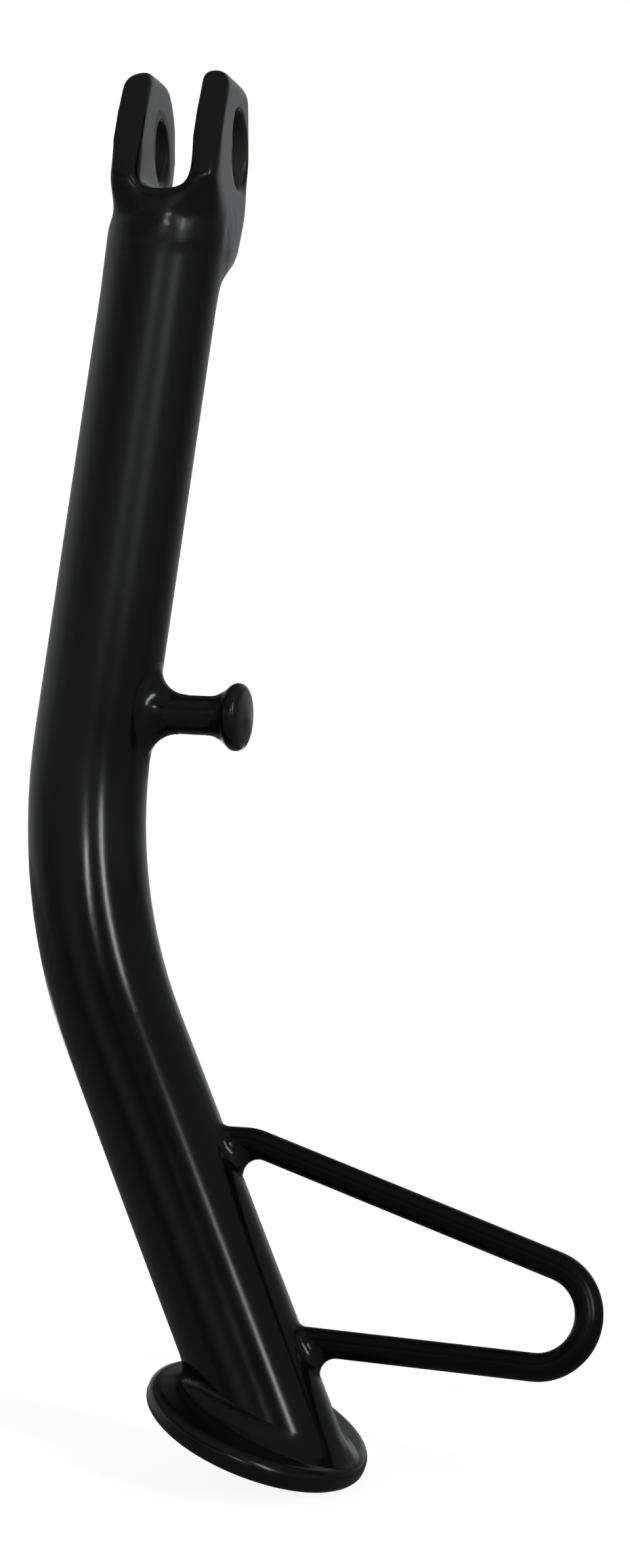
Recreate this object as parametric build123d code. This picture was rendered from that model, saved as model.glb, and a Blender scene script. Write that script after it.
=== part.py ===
from build123d import *
import os
from math import cos, radians, sin, tan

# A motorbike side stand, in millimetres.
# The origin is on the pivot axis, half way between the two ears of the fork head.
# +X runs along the pivot axis towards the bolt's head, +Z is up, -Y is the side that is seen first.

# Pivot bores in the two ears
inner_bore = 13.2
outer_bore = 17.1

# Fork head: a forging with two ears, and a tail that cradles the back of the tube
slot_width = 11.2
ear_thickness = 6.4
ear_height = 16.1
ear_back = 13.9
ear_front = 20.9
ear_front_rake = 32.8
ear_top_front_radius = 6.5
ear_top_back_radius = 10.0
ear_crown_outer_radius = 4.2
ear_crown_inner_radius = 2.0
slot_depth = 12.2
slot_corner_radius = 3.0
head_back_rounding = 5.0
head_front_rounding = 1.0
nose_drop = 9.5
neck_drop = 17.5
seat_drop = 20.5
tail_shoulder_drop = 4.0
tail_knee_back = 10.1
tail_knee_drop = 16.6
tail_lip_back = 0.6
tail_lip_drop = 27.3
tail_end_drop = 32.6
tail_bend_radius = 12.0

# Leg: one bent tube. Both leans are angles from the vertical, seen along Y and along X
tube_diameter = 25.4
tube_wall = 2.4
leg_offset_x = 1.52
leg_offset_y = -12.55
upper_lean_x = 7.24
upper_lean_y = 5.94
bend_drop = 163.6
bend_radius = 115.0
lower_lean_x = 24.94
lower_lean_y = 16.22
foot_drop = 269.6

# Foot plate: an oval plate with a rounded rim
plate_length = 47.4
plate_width = 51.0
plate_end_radius = 22.6
plate_thickness = 4.9
plate_top_rounding = 2.2
plate_sole_rounding = 1.8
plate_tilt_x = 22.0
plate_tilt_y = 7.7
plate_turn = 6.6
plate_shift = 1.7

# Spring peg: a turned post with a button head
peg_drop = 124.5
peg_dip = 3.1
peg_turn = 6.0
peg_neck_diameter = 8.7
peg_head_diameter = 15.0
peg_head_thickness = 4.6
peg_head_dome = 1.2
peg_head_rounding = 1.4
peg_throat_radius = 2.2
peg_reach = 34.4

# Foot loop: one bent rod, in a plane through the axis of the lower leg
loop_rod_diameter = 5.8
loop_turn = 8.0
loop_upper_height = 71.9
loop_upper_fall = 45.3
loop_knee_reach = 18.0
loop_knee_fall = 28.0
loop_knee_radius = 10.0
loop_lower_height = 18.5
loop_lower_fall = 29.7
loop_end_radius = 10.5

# Weld beads: how far each one reaches along and away from the tube
fork_weld_radius = 3.2
fork_weld_drops = 22
peg_weld_radius = 6.5
loop_weld_leg = 3.3
foot_weld_side = 3.0
foot_weld_end = 1.1
foot_weld_height = 4.2

# The fork weld's course round the tube: turn from the front, rise from the seat, and how far it stands out
fork_weld_course = [
    (0, -0.5, 0.5),
    (35, -0.5, 0.5),
    (68, -0.5, 0.4),
    (90, -2.0, 0.3),
    (101, -6.0, 0.3),
    (116, -9.5, 0.4),
    (145, -9.5, 0.9),
    (180, -8.6, 1.0),
    (-150, -9.4, 0.9),
    (-128, -9.5, 0.5),
    (-119, -5.0, 0.4),
    (-100, -1.5, 0.4),
    (-68, -0.5, 0.4),
    (-35, -0.5, 0.5),
]

half_slot = slot_width / 2
half_head = half_slot + ear_thickness
tube_radius = tube_diameter / 2
peg_neck_radius = peg_neck_diameter / 2
rod_radius = loop_rod_diameter / 2


def leg_direction(lean_x, lean_y):
    """The upward direction of a straight leg with these two leans."""
    return Vector(tan(radians(lean_x)), tan(radians(lean_y)), 1).normalized()


upper_up = leg_direction(upper_lean_x, upper_lean_y)
lower_up = leg_direction(-lower_lean_x, lower_lean_y)


def upper_axis(drop):
    """The point of the upper leg's axis that lies this far below the pivot."""
    return Vector(leg_offset_x, leg_offset_y, 0) - upper_up * (drop / upper_up.Z)


bend_point = upper_axis(bend_drop)
seat_point = upper_axis(seat_drop)
foot_point = bend_point - lower_up * ((foot_drop - bend_drop) / lower_up.Z)

plate_up = Vector(
    sin(radians(plate_tilt_x)) * cos(radians(plate_tilt_y)),
    -sin(radians(plate_tilt_y)),
    cos(radians(plate_tilt_x)) * cos(radians(plate_tilt_y)),
)


def across(direction, normal):
    """A direction with its part along the normal taken out."""
    return (direction - normal * direction.dot(normal)).normalized()


plate_along = across(Vector(1, 0, 0), plate_up).rotate(Axis((0, 0, 0), plate_up), plate_turn)
plate_plane = Plane(origin=foot_point - plate_along * plate_shift, x_dir=plate_along, z_dir=plate_up)
seat_plane = Plane(origin=seat_point, x_dir=across(Vector(1, 0, 0), upper_up), z_dir=upper_up)


def tube_solid(radius):
    """A solid bar along the leg, from the seat in the fork head to past the foot plate."""
    past_plate = foot_point - lower_up * tube_diameter
    path = FilletPolyline(seat_point, bend_point, past_plate, radius=bend_radius)
    return sweep(Plane(origin=path @ 0, z_dir=path % 0) * Circle(radius), path=path)


def below_plate():
    """Everything under the foot plate's top face, near the foot."""
    size = 8 * tube_diameter
    return plate_plane * Pos(0, 0, -size / 2) * Box(size, size, size)


leg_core = tube_solid(tube_radius) - below_plate()


def leg_tube():
    """The bent tube, open at the seat and cut off level on the foot plate."""
    bore = tube_solid(tube_radius - tube_wall) - below_plate()
    return leg_core - bore


def corner(face, y, z):
    """The corner of a face that lies nearest to a point of its own plane."""
    return face.vertices().sort_by_distance((y, z, 0))[0]


def head_front(height):
    """Where the ears' raked front lies at a height above the pivot."""
    return tan(radians(ear_front_rake)) * height - ear_front


side_view = Plane(origin=(0, 0, 0), x_dir=(0, 1, 0), z_dir=(1, 0, 0))
front_view = Plane(origin=(0, 0, 0), x_dir=(1, 0, 0), z_dir=(0, -1, 0))
tail_points = [
    (tail_knee_back, -tail_knee_drop),
    (tail_lip_back, -tail_lip_drop),
    (leg_offset_y, -tail_end_drop),
]


def head_from_side():
    """The fork head seen along the pivot axis: ears above, the tail behind the tube below."""
    nose = head_front(-nose_drop)
    face = make_face(Polyline(
        (head_front(ear_height), ear_height),
        (ear_back, ear_height),
        (ear_back, -tail_shoulder_drop),
        *tail_points,
        (leg_offset_y, -seat_drop),
        (nose, -seat_drop),
        (nose, -nose_drop),
        close=True,
    ))
    face = fillet(corner(face, head_front(ear_height), ear_height), ear_top_front_radius)
    return fillet(corner(face, ear_back, ear_height), ear_top_back_radius)


def head_stock():
    """The bar that the head is forged from, with the long edges of its back already rounded."""
    above = 2 * ear_height
    face = make_face(Polyline(
        (head_front(above), above),
        (ear_back, above),
        (ear_back, -tail_shoulder_drop),
        *tail_points,
        (leg_offset_y, -2 * seat_drop),
        (-3 * ear_front, -2 * seat_drop),
        (-3 * ear_front, above),
        close=True,
    ))
    bends = [(ear_back, -tail_shoulder_drop), *tail_points[:2]]
    face = fillet([corner(face, y, z) for y, z in bends], tail_bend_radius)
    stock = extrude(side_view * face, amount=half_head, both=True)
    rims = stock.edges().filter_by(lambda e: abs(abs(e.center().X) - half_head) < 0.01)
    back = rims.filter_by(lambda e: e.center().Y > leg_offset_y and -tail_end_drop < e.center().Z < above)
    return fillet(back.filter_by(lambda e: abs((e % 0.5).Z) > 0.1), head_back_rounding)


def head_from_front():
    """The fork head seen from the front: two ears with rounded crowns, and the slot between them."""
    low = 2 * seat_drop
    face = make_face(Polyline(
        (-half_head, -low),
        (-half_head, ear_height),
        (-half_slot, ear_height),
        (-half_slot, -slot_depth),
        (half_slot, -slot_depth),
        (half_slot, ear_height),
        (half_head, ear_height),
        (half_head, -low),
        close=True,
    ))
    for side in (-1, 1):
        face = fillet(corner(face, side * half_head, ear_height), ear_crown_outer_radius)
        face = fillet(corner(face, side * half_slot, ear_height), ear_crown_inner_radius)
        face = fillet(corner(face, side * half_slot, -slot_depth), slot_corner_radius)
    return extrude(front_view * face, amount=3 * ear_front, both=True)


def neck():
    """Room for the head: square above the neck, round where it meets the tube, and a ruled blend between."""
    behind = 3 * ear_back
    nose = head_front(-nose_drop)
    top = Plane(origin=(0, 0, -nose_drop), x_dir=(1, 0, 0), z_dir=(0, 0, 1))
    centre = upper_axis(neck_drop)

    def block(plane, middle, half, front, radius):
        outline = Polyline(
            (middle - half, front),
            (middle + half, front),
            (middle + half, behind),
            (middle - half, behind),
            close=True,
        )
        face = make_face(outline)
        return plane * fillet(face.vertices().group_by(Axis.Y)[0], radius)

    square = block(top, 0, half_head, nose, head_front_rounding)
    round_end = block(
        Plane(origin=(0, 0, -neck_drop)), centre.X, tube_radius, centre.Y - tube_radius, 0.98 * tube_radius
    )
    above = extrude(square, amount=2 * ear_height + nose_drop)
    below = extrude(round_end, amount=-seat_drop)
    return above + loft([square, round_end]) + below


def pivot_hole(diameter, side):
    """A hole through one ear; side is 1 for the outer ear and -1 for the inner one."""
    middle = side * (half_slot + ear_thickness / 2)
    return Pos(middle, 0, 0) * Rot(0, 90, 0) * Cylinder(diameter / 2, ear_thickness + 1)


def fork_head():
    """The forged clevis, seated on the tube's end and cradling its back."""
    size = 4 * tube_radius
    socket = seat_plane * Pos(0, 0, -size / 2) * Cylinder(tube_radius, size)
    under_front = seat_plane * Pos(0, 0, -size / 2) * Box(size, size, size)
    under_front &= Pos(0, leg_offset_y - size / 2, -seat_drop) * Box(size, size, 2 * size)
    side = extrude(side_view * head_from_side(), amount=half_head, both=True)
    head = head_stock() & side & head_from_front() & neck()
    head -= pivot_hole(outer_bore, 1)
    head -= pivot_hole(inner_bore, -1)
    return head - socket - under_front


def plate_outline(inset):
    """An oval of four arcs, which the plate's edge keeps this far inside."""
    end_radius = plate_end_radius - inset
    half_length = plate_length / 2 - inset
    spread = plate_width / 2 - plate_end_radius
    flat_drop = (spread**2 - (half_length - end_radius) ** 2) / (2 * (half_length - end_radius))
    flat = Circle(half_length + flat_drop)
    lens = (Pos(flat_drop, 0) * flat) & (Pos(-flat_drop, 0) * flat)
    return fillet(lens.vertices(), end_radius)


def foot_plate():
    """The oval plate, with a fuller rounding on its top rim than on its sole."""
    plate = plate_plane * Pos(0, 0, -plate_thickness) * extrude(plate_outline(0), amount=plate_thickness)

    def rim(height):
        return plate.edges().filter_by(lambda e: abs(plate_plane.to_local_coords(e @ 0.5).Z + height) < 0.01)

    plate = fillet(rim(plate_thickness), plate_sole_rounding)
    return fillet(rim(0), plate_top_rounding)


peg_out = Vector(
    cos(radians(peg_turn)) * cos(radians(peg_dip)),
    -sin(radians(peg_turn)) * cos(radians(peg_dip)),
    -sin(radians(peg_dip)),
)
peg_plane = Plane(origin=upper_axis(peg_drop), x_dir=across(upper_up, peg_out), z_dir=peg_out)


def peg_post():
    """The turned post from the leg's axis to its domed head, before it is fitted to the tube."""
    under_head = peg_reach - peg_head_thickness
    head_radius = peg_head_diameter / 2
    section = Plane(origin=peg_plane.origin, x_dir=peg_plane.x_dir, z_dir=-peg_plane.y_dir)
    outline = Polyline(
        (0, peg_reach),
        (0, 0),
        (peg_neck_radius, 0),
        (peg_neck_radius, under_head),
        (head_radius, under_head),
        (head_radius, peg_reach - peg_head_dome),
        close=True,
    )
    post = revolve(section * make_face(outline), Axis(peg_plane.origin, peg_out), 360)

    def edges_at(radius, reach):
        def here(edge):
            spot = peg_plane.to_local_coords(edge @ 0)
            return abs(spot.Z - reach) < 0.05 and abs((spot.X**2 + spot.Y**2) ** 0.5 - radius) < 0.05
        return post.edges().filter_by(here)

    post = fillet(edges_at(peg_neck_radius, under_head), peg_throat_radius)
    post = fillet(edges_at(head_radius, under_head), peg_head_rounding)
    return fillet(edges_at(head_radius, peg_reach - peg_head_dome), peg_head_rounding)


loop_out = across(Vector(cos(radians(loop_turn)), -sin(radians(loop_turn)), 0), lower_up)
loop_plane = Plane(origin=foot_point, x_dir=loop_out, z_dir=loop_out.cross(lower_up))


def loop_corners():
    """The rod's two ends on the leg's axis, with the knee and the tip between them."""
    upper_slope = tan(radians(loop_upper_fall))
    lower_slope = tan(radians(loop_lower_fall))
    knee_height = loop_upper_height - loop_knee_reach * upper_slope
    start_height = knee_height + loop_knee_reach * tan(radians(loop_knee_fall))
    tip_reach = (loop_upper_height - loop_lower_height) / (upper_slope - lower_slope)
    tip_height = loop_upper_height - tip_reach * upper_slope
    spots = [(0, start_height), (loop_knee_reach, knee_height), (tip_reach, tip_height), (0, loop_lower_height)]
    return [loop_plane.from_local_coords(Vector(reach, height)) for reach, height in spots]


upper_root, loop_knee, loop_tip, lower_root = loop_corners()


def loop_rod():
    """The bent rod, from the leg's axis out round its end and back to the axis."""
    path = FilletPolyline(
        upper_root, loop_knee, loop_tip, lower_root, radius=[loop_knee_radius, loop_end_radius]
    )
    return sweep(Plane(origin=path @ 0, z_dir=path % 0) * Circle(rod_radius), path=path)


def seam(joined, post_start, post_out, post_radius):
    """The edges where a round post that starts on the leg's axis comes out of the leg."""
    def on_post(edge):
        for place in (0.1, 0.4, 0.7):
            offset = edge @ place - post_start
            along = offset.dot(post_out)
            if abs((offset - post_out * along).length - post_radius) > 0.02:
                return False
            if along < 0 or along > 2.5 * tube_radius:
                return False
        return True
    return joined.edges().filter_by(on_post)


def corner_weld(post, post_start, post_out, post_radius, size):
    """The weld metal that fills the hollow corner between the leg and a round post."""
    joined = leg_core + post
    return fillet(seam(joined, post_start, post_out, post_radius), size) - leg_core - post


def fork_weld():
    """The bead round the front of the seat and down the two sides of the tail to its lip."""
    forward = across(Vector(0, -1, 0), upper_up)
    sideways = upper_up.cross(forward)
    spots = []
    for turn, rise, bulge in fork_weld_course:
        around = forward * cos(radians(turn)) + sideways * sin(radians(turn))
        spots.append(seat_point + upper_up * rise + around * (tube_radius + bulge - fork_weld_radius))
    course = Spline(*spots, periodic=True)
    drops = [course @ (count / fork_weld_drops) for count in range(fork_weld_drops)]
    bead = Part()
    for start, end in zip(drops, drops[1:] + drops[:1]):
        run = Plane(origin=start, z_dir=end - start) * Circle(fork_weld_radius)
        bead += extrude(run, amount=(end - start).length) + Pos(start) * Sphere(fork_weld_radius)
    return bead - (fork_head() + leg_core)


def foot_weld():
    """The bead round the leg's oval footprint on the plate, hollow in section."""
    slant = lower_up.dot(plate_up)
    toward = across(lower_up, plate_up)

    def oval(height, side, end):
        centre = foot_point + lower_up * (height / slant)
        return Plane(origin=centre, x_dir=toward, z_dir=plate_up) * Ellipse(tube_radius / slant + end, tube_radius + side)

    foot = extrude(oval(0, foot_weld_side, foot_weld_end), amount=-plate_top_rounding / 2)
    flare = loft([
        oval(0, foot_weld_side, foot_weld_end),
        oval(foot_weld_height / 3, foot_weld_side / 3, foot_weld_end / 3),
        oval(foot_weld_height, 0, 0),
    ])
    return foot + flare - leg_core - foot_plate()


def save(shape, name):
    export_step(shape, f"parts/{name}.step")


os.makedirs("parts", exist_ok=True)
save(leg_tube(), "leg_tube")
save(fork_head(), "fork_head")
save(foot_plate(), "foot_plate")
save(peg_post() - leg_core, "spring_peg")
save(loop_rod() - leg_core, "foot_loop")
save(foot_weld(), "foot_weld")
save(fork_weld(), "fork_weld")
save(corner_weld(peg_post(), peg_plane.origin, peg_out, peg_neck_radius, peg_weld_radius), "peg_weld")
upper_out = (loop_knee - upper_root).normalized()
lower_out = (loop_tip - lower_root).normalized()
save(corner_weld(loop_rod(), upper_root, upper_out, rod_radius, loop_weld_leg), "loop_weld_upper")
save(corner_weld(loop_rod(), lower_root, lower_out, rod_radius, loop_weld_leg), "loop_weld_lower")
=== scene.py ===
# %% [markdown]
# A side stand, dressed for a picture.
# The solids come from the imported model: a bent tube, a forged fork head, a spring peg, a wire loop,
# an oval foot plate, and the beads of weld that join them. This lesson gives them their paint, softens
# the forging and the peg as thick paint does, and sets up the camera, the floor and the light.

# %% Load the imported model
from math import cos, pi, radians, sin, sqrt
import bpy
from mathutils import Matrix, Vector


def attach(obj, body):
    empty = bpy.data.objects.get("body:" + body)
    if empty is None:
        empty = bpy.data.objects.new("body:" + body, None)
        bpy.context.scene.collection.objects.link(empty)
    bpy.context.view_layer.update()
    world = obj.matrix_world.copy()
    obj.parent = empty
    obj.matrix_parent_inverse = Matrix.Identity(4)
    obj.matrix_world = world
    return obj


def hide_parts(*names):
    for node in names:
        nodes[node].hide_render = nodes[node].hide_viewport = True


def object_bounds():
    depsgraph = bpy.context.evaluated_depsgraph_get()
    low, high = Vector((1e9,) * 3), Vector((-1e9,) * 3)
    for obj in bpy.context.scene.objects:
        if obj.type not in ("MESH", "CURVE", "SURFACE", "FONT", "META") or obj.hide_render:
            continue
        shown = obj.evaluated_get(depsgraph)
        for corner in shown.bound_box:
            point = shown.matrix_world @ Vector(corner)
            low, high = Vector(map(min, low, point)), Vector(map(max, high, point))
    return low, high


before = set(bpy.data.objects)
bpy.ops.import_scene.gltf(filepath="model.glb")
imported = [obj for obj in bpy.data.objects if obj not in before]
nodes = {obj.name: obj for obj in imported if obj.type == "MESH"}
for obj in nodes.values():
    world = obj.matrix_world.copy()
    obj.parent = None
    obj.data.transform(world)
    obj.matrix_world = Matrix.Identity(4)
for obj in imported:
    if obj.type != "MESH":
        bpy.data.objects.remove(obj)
cad_low, cad_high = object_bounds()
bpy.ops.object.select_all(action="DESELECT")
MM = 0.001
print("pieces of the solid model:", ", ".join(sorted(nodes)))

# %% [markdown]
# The camera stands where the photographer's camera stood. Its height, distance and angle were worked out
# from the tube's width along the leg: the tube looks wider near the foot, so the foot is nearer to the
# lens. The camera is level, and its frame is as tall as a strip of film 24 mm high.

# %% Camera
camera_place = Vector((175.2, -819.2, -140.4)) * MM
camera_turn = radians(10.137)
picture_height = 2388
focal_in_pixels = 5760
camera_data = bpy.data.cameras.new("camera")
camera_data.sensor_fit = "VERTICAL"
camera_data.sensor_height = 24
camera_data.lens = camera_data.sensor_height * focal_in_pixels / picture_height
camera_data.clip_start = 0.05
camera = bpy.data.objects.new("camera", camera_data)
camera.location = camera_place
camera.rotation_euler = (pi / 2, 0, camera_turn)
bpy.context.scene.collection.objects.link(camera)
bpy.context.scene.camera = camera
print("lens in mm:", round(camera_data.lens, 2))

# %% [markdown]
# A material is a small network of nodes. Four helpers keep the lesson short: one adds a node and fills in
# its numbers, one joins two nodes, one finds the output that carries a plain number, and one does sums.

# %% Helpers for materials


def add_node(tree, kind, **values):
    """A new node, with its settings and its input numbers filled in by name."""
    node = tree.nodes.new(kind)
    for name, value in values.items():
        label = name.replace("_", " ")
        if hasattr(node, name) and label not in node.inputs:
            setattr(node, name, value)
        else:
            node.inputs[label].default_value = value
    return node


def join(tree, start, output, end, entry):
    """A wire from one node's output to another node's input."""
    tree.links.new(start.outputs[output], end.inputs[entry])


def number_from(node):
    """The output that carries a plain number. A pattern also has a colour, and calls its number Fac."""
    return node.outputs["Fac"] if "Fac" in node.outputs else node.outputs[0]


def sum_node(tree, kind, *entries):
    """A Math node. Each entry is a number, or another node whose number is used."""
    node = add_node(tree, "ShaderNodeMath", operation=kind)
    for slot, entry in enumerate(entries):
        if isinstance(entry, (int, float)):
            node.inputs[slot].default_value = entry
        else:
            tree.links.new(number_from(entry), node.inputs[slot])
    return node


print("helpers ready")

# %% [markdown]
# Gloss enamel is never quite flat. It dries with a faint orange peel about a millimetre and a half
# across, and over a weld it follows the lumps of the bead. All of it could be modelled, but it is far
# finer than the mesh. So noise patterns drive bumps, which turn the surface's direction and leave its
# shape. Bumps are laid over each other like coats of paint.

# %% Noise and bumps


def noise(tree, place, size, **settings):
    """A cloudy pattern with features of this size in millimetres, fixed to the piece."""
    node = add_node(tree, "ShaderNodeTexNoise", Scale=1 / (size * MM), **settings)
    join(tree, place, "Object", node, "Vector")
    return node


def split_place(tree, place):
    """The place of each point of a piece, split into X, Y and Z."""
    split = add_node(tree, "ShaderNodeSeparateXYZ")
    join(tree, place, "Object", split, "Vector")
    return split


def bump(tree, height, depth, under=None, inward=False):
    """A bump of this depth in millimetres, laid over the bumps under it."""
    node = add_node(tree, "ShaderNodeBump", Strength=1, Distance=depth * MM, invert=inward)
    tree.links.new(number_from(height), node.inputs["Height"])
    if under:
        join(tree, under, "Normal", node, "Normal")
    return node


print("noise and bump helpers ready")

# %% [markdown]
# A bead round a post has ripples, one for each time the welder's hand paused. They are a row of humps
# around the joint, so a pattern that turns around the joint's own axis gives them. The lumps of the
# forging lie only where its bead is, so they are kept between two heights.

# %% Ripples and a band


def weld_ripples(tree, place, centre, axis, count):
    """Humps around an axis, with sharp valleys between them, like coins laid on each other in a row."""
    turned = add_node(tree, "ShaderNodeMapping", vector_type="TEXTURE")
    turned.inputs["Location"].default_value = Vector(centre) * MM
    turned.inputs["Rotation"].default_value = Vector(axis).to_track_quat("Z", "Y").to_euler()
    around = add_node(tree, "ShaderNodeTexGradient", gradient_type="RADIAL")
    join(tree, place, "Object", turned, "Vector")
    join(tree, turned, "Vector", around, "Vector")
    wander = noise(tree, place, 3, Detail=2, Roughness=0.5)
    beats = sum_node(tree, "MULTIPLY", around, count)
    part = sum_node(tree, "FRACT", sum_node(tree, "ADD", beats, wander))
    from_crest = sum_node(tree, "MULTIPLY_ADD", part, 2, -1)
    return sum_node(tree, "MULTIPLY", from_crest, from_crest)


def band_window(tree, place, low, high):
    """One between two heights in millimetres, and softly nought outside them."""
    outside = 3
    inside = 1
    split = split_place(tree, place)
    edges = []
    for start, end in ((low - outside, low + inside), (high + outside, high - inside)):
        edge = add_node(tree, "ShaderNodeMapRange", interpolation_type="SMOOTHSTEP")
        edge.inputs["From Min"].default_value = start * MM
        edge.inputs["From Max"].default_value = end * MM
        join(tree, split, "Z", edge, "Value")
        edges.append(edge)
    return sum_node(tree, "MULTIPLY", *edges)


print("weld helpers ready")

# %% [markdown]
# The colour of the enamel is close to black and nearly even. What makes it read as paint is its gloss,
# which varies a little from place to place, and is weaker on the upper leg in the photograph. So one
# broad cloud pattern drives both the roughness and the tint, and a step in height adds to the roughness.

# %% Colour and gloss
tube_black = (0.0052, 0.0052, 0.0054)
fully_dull_height = -85
dull_fade = 50
dull_extra = 0.14


def colour_and_gloss(tree, place, shader, colour, roughness, dull_top):
    """An uneven tint and an uneven gloss. With dull_top, the upper part of the stand has less gloss."""
    clouds = noise(tree, place, 14, Detail=4, Roughness=0.6)
    gloss = add_node(tree, "ShaderNodeMapRange", To_Min=roughness * 0.75, To_Max=roughness * 1.35)
    tint = add_node(tree, "ShaderNodeMapRange", To_Min=0.8, To_Max=1.25)
    shade = add_node(tree, "ShaderNodeMix", data_type="RGBA", blend_type="MULTIPLY")
    shade.inputs["Factor"].default_value = 1
    shade.inputs[6].default_value = (*colour, 1)
    join(tree, clouds, "Fac", gloss, "Value")
    join(tree, clouds, "Fac", tint, "Value")
    tree.links.new(tint.outputs["Result"], shade.inputs[7])
    tree.links.new(shade.outputs[2], shader.inputs["Base Color"])
    if dull_top:
        dull = add_node(tree, "ShaderNodeMapRange", interpolation_type="SMOOTHSTEP")
        dull.inputs["From Min"].default_value = (fully_dull_height - dull_fade) * MM
        dull.inputs["From Max"].default_value = fully_dull_height * MM
        dull.inputs["To Max"].default_value = dull_extra
        join(tree, split_place(tree, place), "Z", dull, "Value")
        gloss = sum_node(tree, "ADD", gloss, dull)
    tree.links.new(number_from(gloss), shader.inputs["Roughness"])


print("the upper paint is duller by", dull_extra, "above", fully_dull_height, "mm")

# %% [markdown]
# Now the coats go together into one paint, with a thin clear gloss over all. The loop is much darker than
# the tube, so its paint is a darker copy that mirrors less and has no clear coat: painted shade. The peg's
# paint is a little warmer. The bores get a matt brownish paint far lighter than the enamel: a brownish
# tone of their own, and painted light that lifts the shade inside them.

# %% Gloss black paint
peel_size = 1.6
ripple_depth = 0.012


def black_paint(name, roughness=0.16, peel=0.012, lumps=None, joint=None, band=None,
                colour=tube_black, mirror=1.5, clear_coat=0.25, dull_top=False):
    """Gloss enamel. The peel is its depth in millimetres, and the lumps are a depth and a size.

    A joint is the centre, axis and count of a bead's ripples. A band is the two heights between which
    the lumps lie.
    """
    material = bpy.data.materials.new(name)
    material.use_nodes = True
    tree = material.node_tree
    shader = tree.nodes["Principled BSDF"]
    shader.inputs["IOR"].default_value = mirror
    shader.inputs["Coat Weight"].default_value = clear_coat
    shader.inputs["Coat Roughness"].default_value = 0.06
    place = add_node(tree, "ShaderNodeTexCoord")
    colour_and_gloss(tree, place, shader, colour, roughness, dull_top)
    coats = None
    if joint:
        coats = bump(tree, weld_ripples(tree, place, *joint), ripple_depth, inward=True)
    if lumps:
        depth, size = lumps
        height = noise(tree, place, size, Detail=0.5, Roughness=0.4)
        if band:
            height = sum_node(tree, "MULTIPLY", height, band_window(tree, place, *band))
        coats = bump(tree, height, depth, under=coats)
    coats = bump(tree, noise(tree, place, peel_size, Detail=2, Roughness=0.45), peel, under=coats)
    join(tree, coats, "Normal", shader, "Normal")
    return material


peg_joint = ((-14.3, -25.5, -124.5), (0.993, -0.104, -0.054), 22)
upper_joint = ((4.23, -44.27, -214.1), (0.989, -0.146, -0.033), 16)
lower_joint = ((22.5, -55.7, -253.4), (0.986, -0.153, -0.062), 16)
# The loop's colour is darker than the tube's: painted shade for the dark that the loop lies in.
loop_black_painted_shade = (0.003, 0.003, 0.003)
peg_black = (0.012, 0.0105, 0.009)
paints = {
    "leg_tube": black_paint("tube_paint", dull_top=True),
    "foot_plate": black_paint("plate_paint", roughness=0.2, peel=0.016),
    "foot_loop": black_paint("loop_paint_painted_shade", roughness=0.26, colour=loop_black_painted_shade, mirror=1.4, clear_coat=0),
    "spring_peg": black_paint("peg_paint", roughness=0.28, colour=peg_black),
    "fork_head": black_paint("forged_paint", lumps=(0.4, 4.5), band=(-24, -16), dull_top=True),
    "fork_weld": black_paint("fork_weld_paint", roughness=0.18, peel=0.02, lumps=(0.12, 2)),
    "peg_weld": black_paint("peg_weld_paint", lumps=(0.14, 4.5), joint=peg_joint),
    "loop_weld_upper": black_paint("upper_weld_paint", lumps=(0.25, 2.6), joint=upper_joint),
    "loop_weld_lower": black_paint("lower_weld_paint", lumps=(0.25, 2.6), joint=lower_joint),
    "foot_weld": black_paint("foot_weld_paint", lumps=(0.3, 3.5)),
}
# The bores are painted far lighter than the enamel, with a brownish tint: painted light that lifts the
# shade inside them.
bore_tint_and_painted_light = black_paint("bore_tint_and_painted_light", colour=(0.085, 0.074, 0.066), roughness=0.5)
print("paints:", ", ".join(paint.name for paint in paints.values()))

# %% [markdown]
# Each solid brings its own exact surface directions, so light already runs smoothly over its round faces
# and from a weld's hollow face on to the tube. Only the paint is added, and no mesh is changed.

# %% Paint on the solid model
for name, solid in nodes.items():
    solid.data.materials.clear()
    solid.data.materials.append(paints[name])
    print("painted", name, "with", paints[name].name)

# %% [markdown]
# The fork head is a forging. Its edges come out of the die rounded, and where it sits on the tube, its
# weld and thick paint run the two together into one soft neck. A solid modeller has hard borders there.
# They could be bevelled one by one, but a bevel doesn't cross from one solid to another. So the head and
# its bead are copied and merged, then wrapped in one net of small squares, and smoothed like clay.

# %% Copy the head and its bead


def merged_copy(title, *names):
    """One free mesh with the shape of some solids, with its loose triangles merged."""
    bpy.ops.object.select_all(action="DESELECT")
    copies = []
    for name in names:
        copy = bpy.data.objects.new(title, nodes[name].data.copy())
        bpy.context.scene.collection.objects.link(copy)
        copy.select_set(True)
        copies.append(copy)
    bpy.context.view_layer.objects.active = copies[0]
    if len(copies) > 1:
        bpy.ops.object.join()
    piece = bpy.context.object
    bpy.ops.mesh.customdata_custom_splitnormals_clear()
    bpy.ops.object.mode_set(mode="EDIT")
    bpy.ops.mesh.select_all(action="SELECT")
    bpy.ops.mesh.remove_doubles(threshold=0.01 * MM)
    bpy.ops.object.mode_set(mode="OBJECT")
    piece.data.materials.clear()
    return piece


forging = merged_copy("fork_forging", "fork_head", "fork_weld")
print("copied triangles:", len(forging.data.polygons))

# %% [markdown]
# The net needs something to run out on, or it would end in a ridge around the tube. A cone does that: at
# the weld it stands just proud of the tube, and lower down it dips just under the tube's skin, where it
# is hidden.

# %% Add the sleeve
tube_axis = Vector((0.1254, 0.1027, 0.9868))
seat_point = Vector((-1.08, -14.68, -20.5)) * MM
tube_radius = 12.7 * MM
sleeve_top = seat_point + tube_axis * (1 * MM)
sleeve_foot = seat_point - tube_axis * (32 * MM)


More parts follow.
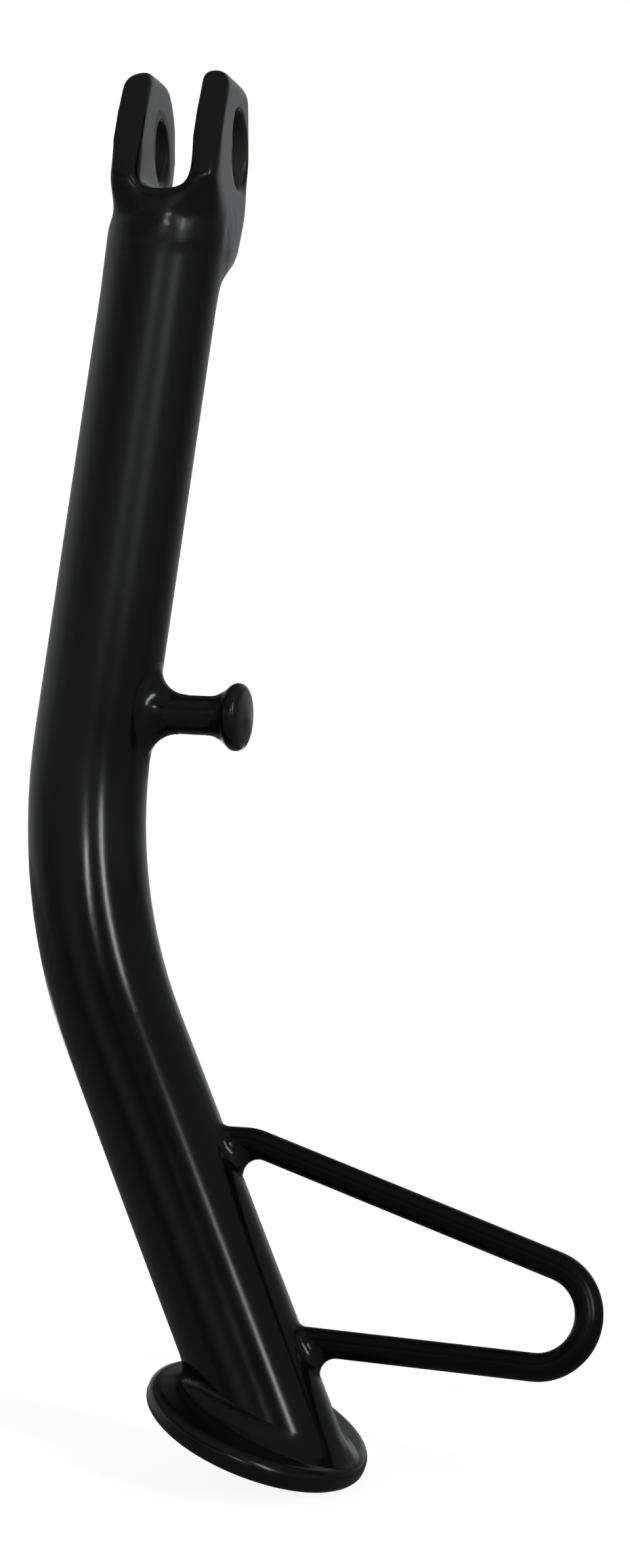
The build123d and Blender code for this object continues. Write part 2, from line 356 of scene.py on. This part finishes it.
def add_cone(centre, direction, length, start_radius, end_radius, sides):
    """A closed cone that points along a direction. It is left as the only piece selected."""
    bpy.ops.object.select_all(action="DESELECT")
    bpy.ops.mesh.primitive_cone_add(
        vertices=sides,
        radius1=start_radius,
        radius2=end_radius,
        depth=length,
        location=centre,
        rotation=direction.to_track_quat("Z", "Y").to_euler(),
    )
    bpy.ops.object.transform_apply(location=True, rotation=True, scale=True)


def join_into(piece):
    """Joins what is selected into the piece."""
    piece.select_set(True)
    bpy.context.view_layer.objects.active = piece
    bpy.ops.object.join()
    print(piece.name, "now has", len(piece.data.polygons), "faces")


add_cone(
    centre=(sleeve_top + sleeve_foot) / 2,
    direction=tube_axis,
    length=(sleeve_top - sleeve_foot).length,
    start_radius=tube_radius - 0.3 * MM,
    end_radius=tube_radius + 0.5 * MM,
    sides=128,
)
join_into(forging)

# %% [markdown]
# The net is the Remesh modifier. It needs closed solids, and gives squares of one size that cross all
# borders between them. Each modifier is applied at once, so that the next one works on its result.

# %% Wrap the forging in squares


def apply_modifier(piece, title, kind, **settings):
    """Adds a modifier with its settings and applies it."""
    modifier = piece.modifiers.new(title, kind)
    for name, value in settings.items():
        setattr(modifier, name, value)
    bpy.context.view_layer.objects.active = piece
    bpy.ops.object.modifier_apply(modifier=title)


def wrap_in_squares(piece, size):
    """One closed net around all that the piece holds, with squares of this size in millimetres."""
    apply_modifier(piece, "skin", "REMESH", mode="VOXEL", voxel_size=size * MM)
    print(piece.name, "is wrapped in", len(piece.data.polygons), "squares")


wrap_in_squares(forging, 0.36)

# %% [markdown]
# How much each part is smoothed is written into vertex groups, as shares from nought to one. The ears
# keep their form and are smoothed a little, and hardly at all at the bores, whose edges stay crisp. The
# crown of the ears gets more, and the neck below the pivot gets the most.

# %% Shares of the ears, the neck and the crown
crisp_share = 0.15


def ramp(value, start, end):
    """Nought at the start, one at the end, and straight between them."""
    return min(max((value - start) / (end - start), 0), 1)


ears = forging.vertex_groups.new(name="ears")
neck = forging.vertex_groups.new(name="neck")
crown = forging.vertex_groups.new(name="crown")
for corner in forging.data.vertices:
    x, y, z = corner.co / MM
    from_pivot = sqrt(y * y + z * z)
    ears.add([corner.index], max(ramp(from_pivot, 9, 10.5), crisp_share), "REPLACE")
    neck.add([corner.index], ramp(z, -1, -7), "REPLACE")
    crown.add([corner.index], ramp(z, 6, 12), "REPLACE")
print("shares written for", len(forging.data.vertices), "corners")

# %% [markdown]
# The Smooth modifier moves each corner half way to the middle of its neighbours, and does so in rounds.
# To spread the softness twice as far takes four times the rounds. Here 22 of them soften an edge over
# about 0.8 mm, and 220 over nearly 3 mm.

# %% Smooth like clay


def rub_smooth(piece, rounds, group=""):
    """Rounds of smoothing, by the shares in a vertex group, or all over."""
    apply_modifier(piece, "rub", "SMOOTH", factor=0.5, iterations=rounds, vertex_group=group)


def shade_smooth(piece):
    """Lets light run over the squares as over one surface."""
    bpy.ops.object.select_all(action="DESELECT")
    piece.select_set(True)
    bpy.ops.object.shade_smooth()
    print(piece.name, "smoothed")


rub_smooth(forging, 22, "ears")
rub_smooth(forging, 220, "neck")
rub_smooth(forging, 70, "crown")
shade_smooth(forging)

# %% [markdown]
# The skin dips under the tube a little way down. Where one surface takes over from the other, a gloss
# paint would show a line, because their directions differ by a degree or two. So the skin borrows the
# tube's own surface directions there, more and more from the weld down.

# %% Borrow the tube's surface directions
borrow_start = 3
borrow_full = 10
sleeve = forging.vertex_groups.new(name="sleeve")
for corner in forging.data.vertices:
    along_tube = (seat_point - corner.co).dot(tube_axis) / MM
    sleeve.add([corner.index], ramp(along_tube, borrow_start, borrow_full), "REPLACE")
apply_modifier(
    forging,
    "tube directions",
    "DATA_TRANSFER",
    object=nodes["leg_tube"],
    use_loop_data=True,
    data_types_loops={"CUSTOM_NORMAL"},
    loop_mapping="POLYINTERP_NEAREST",
    vertex_group="sleeve",
)
forging.vertex_groups.clear()
print("directions borrowed in full from", borrow_full, "mm below the seat of the forging")

# %% [markdown]
# The insides of the bores are part of the same mesh. So their faces are found by their place, around the
# pivot's axis and clear of the slot between the ears, and are given a second material.

# %% Paint on the forging
bore_reach = 9
bore_start = 5.5
forging.data.materials.append(paints["fork_head"])
# The second material is the bores' lighter paint, painted light inside them.
forging.data.materials.append(bore_tint_and_painted_light)
for face in forging.data.polygons:
    x, y, z = face.center / MM
    if sqrt(y * y + z * z) < bore_reach and abs(x) > bore_start:
        face.material_index = 1
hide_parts("fork_head", "fork_weld")
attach(forging, "root")
print("bore faces:", sum(face.material_index for face in forging.data.polygons))

# %% [markdown]
# The spring peg is turned or pressed from bar and painted thickly, so its button has no sharp rim left,
# and the post flares a little where it meets the button. A cone under the button makes the flare, and
# the same wrapping and smoothing runs all of it together.

# %% Soft button of the spring peg
peg_start, peg_axis = (Vector(value) for value in peg_joint[:2])
flare_middle = 28.3
button = merged_copy("peg_button", "spring_peg")
add_cone(
    centre=(peg_start + peg_axis * flare_middle) * MM,
    direction=peg_axis,
    length=4.5 * MM,
    start_radius=4.2 * MM,
    end_radius=6.6 * MM,
    sides=96,
)
join_into(button)
wrap_in_squares(button, 0.25)
rub_smooth(button, 150)
shade_smooth(button)
button.data.materials.append(paints["spring_peg"])
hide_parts("spring_peg")
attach(button, "root")

# %% [markdown]
# The stand hangs just over a plain floor, as if held by its pivot. Floor and background are white, so the
# black paint reads as a clean shape. A disc is enough for a floor: at a radius of 6 m, its far edge lies
# close to the horizon, white on white.

# %% Floor
floor_gap = 0.5 * MM
floor_height = cad_low.z - floor_gap
bpy.ops.mesh.primitive_circle_add(vertices=96, radius=6, fill_type="NGON", location=(0, 0, floor_height))
floor = bpy.context.object
floor.name = "floor"
print("floor at", round(floor_height / MM, 1), "mm")

# %% [markdown]
# The floor glows for the camera, to be as white as the backdrop. In the mirror images it is a dim grey,
# but for a bright card that lies behind the stand and gives the back of the tube its sheen. The card could
# be a piece of its own, but as a soft glow in the floor's material it has no edge and casts no shadow.

# %% White floor with a card
white = bpy.data.materials.new("white_floor")
white.use_nodes = True
tree = white.node_tree
base = tree.nodes["Principled BSDF"]
base.inputs["Base Color"].default_value = (0.5, 0.5, 0.5, 1)
base.inputs["Roughness"].default_value = 0.8
base.inputs["Emission Color"].default_value = (1, 1, 1, 1)
place = add_node(tree, "ShaderNodeTexCoord")
card = add_node(tree, "ShaderNodeMapping", vector_type="TEXTURE")
card.inputs["Location"].default_value = (-0.1, 0.65, 0)
card.inputs["Rotation"].default_value = (0, 0, camera_turn)
card.inputs["Scale"].default_value = (0.5, 0.35, 1)
card_light = add_node(tree, "ShaderNodeTexGradient", gradient_type="QUADRATIC_SPHERE")
join(tree, place, "Object", card, "Vector")
join(tree, card, "Vector", card_light, "Vector")
card_power = sum_node(tree, "MULTIPLY", card_light, 6)
rays = add_node(tree, "ShaderNodeLightPath")
glow = add_node(tree, "ShaderNodeMix", data_type="FLOAT")
glow.inputs[3].default_value = 0.9
join(tree, rays, "Is Camera Ray", glow, 0)
tree.links.new(card_power.outputs[0], glow.inputs[2])
tree.links.new(glow.outputs[0], base.inputs["Emission Strength"])
floor.data.materials.append(white)
print("floor painted, with nodes:", len(tree.nodes))

# %% [markdown]
# White light from all sides would turn the gloss grey, so the room that the paint mirrors is mostly dark,
# with pale walls behind and to the left. Real lamps and walls could stand around the stand, but each would
# need a place as well as a size. Painted on the sky, each is only a direction, which is nearly all that a
# mirror image shows. First each direction gets two angles: its compass turn, where nought is the way to
# the camera and positive turns go to the right of it, and its rise above the horizon.

# %% Compass turn and rise
world = bpy.data.worlds.new("room")
bpy.context.scene.world = world
world.use_nodes = True
sky = world.node_tree
sky.nodes.clear()
place = add_node(sky, "ShaderNodeTexCoord")
split = add_node(sky, "ShaderNodeSeparateXYZ")
join(sky, place, "Generated", split, "Vector")


def part_along(east, north):
    """How far a direction points along a level compass direction."""
    share = sum_node(sky, "MULTIPLY", 0, east)
    whole = sum_node(sky, "MULTIPLY_ADD", 0, north, share)
    join(sky, split, "X", share, 0)
    join(sky, split, "Y", whole, 0)
    return whole


to_right = part_along(cos(camera_turn), sin(camera_turn))
to_camera = part_along(sin(camera_turn), -cos(camera_turn))
turn = sum_node(sky, "ARCTAN2", to_right, to_camera)
rise = sum_node(sky, "ARCSINE", 0)
join(sky, split, "Z", rise, 0)
print("nodes for the two angles:", len(sky.nodes))

# %% [markdown]
# The walls are five rows of soft patches, one above the other. A row is a colour ramp around the compass:
# each stop is a turn in degrees and how bright the wall is there. The rows meet softly at rises of about
# 11, 20, 25 and 41 degrees. A round tube squeezes the whole room into its width, so the patches were tuned
# until its stripes of light and dark fell where the photograph has them.

# %% Walls of the room


def walls(stops):
    """A row of wall: each stop is a compass turn in degrees and its brightness."""
    share = sum_node(sky, "MULTIPLY_ADD", turn, 0.5 / pi, 0.5)
    row = add_node(sky, "ShaderNodeValToRGB")
    row.color_ramp.interpolation = "EASE"
    for count, (angle, brightness) in enumerate(stops):
        spot = (angle + 180) / 360
        entry = row.color_ramp.elements[count] if count < 2 else row.color_ramp.elements.new(spot)
        entry.position = spot
        entry.color = (brightness, brightness, brightness, 1)
    sky.links.new(share.outputs[0], row.inputs["Fac"])
    return row


def step(source, low, high, dark, bright):
    """A soft step from dark to bright as the source, an angle in degrees, goes from low to high."""
    change = add_node(sky, "ShaderNodeMapRange", interpolation_type="SMOOTHSTEP")
    change.inputs["From Min"].default_value = radians(low)
    change.inputs["From Max"].default_value = radians(high)
    change.inputs["To Min"].default_value = dark
    change.inputs["To Max"].default_value = bright
    sky.links.new(source.outputs[0], change.inputs["Value"])
    return change


def between(low_light, high_light, low, high):
    """One light below a rise in degrees, another above, and a soft change between them."""
    mix = add_node(sky, "ShaderNodeMix", data_type="FLOAT")
    sky.links.new(step(rise, low, high, 0, 1).outputs[0], mix.inputs[0])
    sky.links.new(low_light.outputs[0], mix.inputs[2])
    sky.links.new(high_light.outputs[0], mix.inputs[3])
    return mix


lowest_row = walls([(-180, 0.4), (180, 0.4), (-150, 0.28), (-123, 0.3), (-106, 0.2), (-86, 0.1),
                    (-60, 0.06), (-35, 0.13), (30, 0.12), (74, 0.15), (100, 0.1), (123, 0.15),
                    (140, 0.28), (157, 0.34)])
level_row = walls([(-180, 0.45), (180, 0.45), (-150, 0.28), (-123, 0.42), (-106, 0.38), (-86, 0.24),
                   (-60, 0.2), (0, 0.25), (60, 0.22), (110, 0.09), (140, 0.12), (157, 0.37)])
upper_row = walls([(-180, 0.05), (180, 0.05), (-123, 0.2), (-86, 0.14), (-60, 0.08), (0, 0.12),
                   (60, 0.14), (123, 0.1), (150, 0.28), (162, 0.36), (167, 0.05)])
high_row = walls([(-180, 0.05), (180, 0.05), (-90, 0.08), (-50, 0.05), (10, 0.05), (60, 0.14),
                  (123, 0.12), (155, 0.3)])
ceiling = walls([(-180, 0.06), (180, 0.06), (-90, 0.13), (0, 0.16), (90, 0.13)])
low_part = between(between(lowest_row, level_row, 7, 15), upper_row, 18, 22)
room_light = between(between(low_part, high_row, 23, 28), ceiling, 36, 46)
print("nodes with the five rows of wall:", len(sky.nodes))

# %% [markdown]
# A tall narrow lamp stands to the right of the camera. Its mirror image is the thin bright line that runs
# down the tube. A second, small lamp near the camera leaves the short line beside it, where the tube
# bends. Both glow less towards their edges, so the lines are soft.

# %% Lamps


def lamp(centre, half_width, low, full, fade, high, power, lean=0.0):
    """A glow at one compass turn, with all its angles in degrees.

    Upwards it grows from the rise low to full, and dies away from fade to high. It may lean sideways.
    """
    leaning = sum_node(sky, "MULTIPLY_ADD", rise, -lean, turn)
    away = sum_node(sky, "ABSOLUTE", sum_node(sky, "SUBTRACT", leaning, radians(centre)))
    side = step(away, 0, half_width, power, 0)
    foot = step(rise, low, full, 0, 1)
    top = step(rise, fade, high, 1, 0)
    return sum_node(sky, "MULTIPLY", side, sum_node(sky, "MULTIPLY", foot, top))


tall_lamp = lamp(centre=31.5, half_width=6, low=12, full=17, fade=37, high=44, power=9)
small_lamp = lamp(centre=24, half_width=6, low=18.5, full=21, fade=23, high=27, power=12, lean=-1.15)
total = sum_node(sky, "ADD", room_light, sum_node(sky, "ADD", tall_lamp, small_lamp))
print("nodes with the lamps:", len(sky.nodes))

# %% [markdown]
# The camera itself must not see this patchy room, only the paint may. The Light Path node tells the two
# apart, so the camera gets a plain white backdrop and every mirror image gets the room.

# %% Room for the paint, white for the camera
room = add_node(sky, "ShaderNodeBackground", Color=(0.96, 0.98, 1.0, 1))
sky.links.new(total.outputs[0], room.inputs["Strength"])
backdrop = add_node(sky, "ShaderNodeBackground", Color=(1, 1, 1, 1), Strength=1.05)
rays = add_node(sky, "ShaderNodeLightPath")
seen = add_node(sky, "ShaderNodeMixShader")
out = add_node(sky, "ShaderNodeOutputWorld")
join(sky, rays, "Is Camera Ray", seen, 0)
sky.links.new(room.outputs[0], seen.inputs[1])
sky.links.new(backdrop.outputs[0], seen.inputs[2])
sky.links.new(seen.outputs[0], out.inputs["Surface"])
bpy.context.scene.view_settings.view_transform = "Standard"
print("all nodes of the sky:", len(sky.nodes))
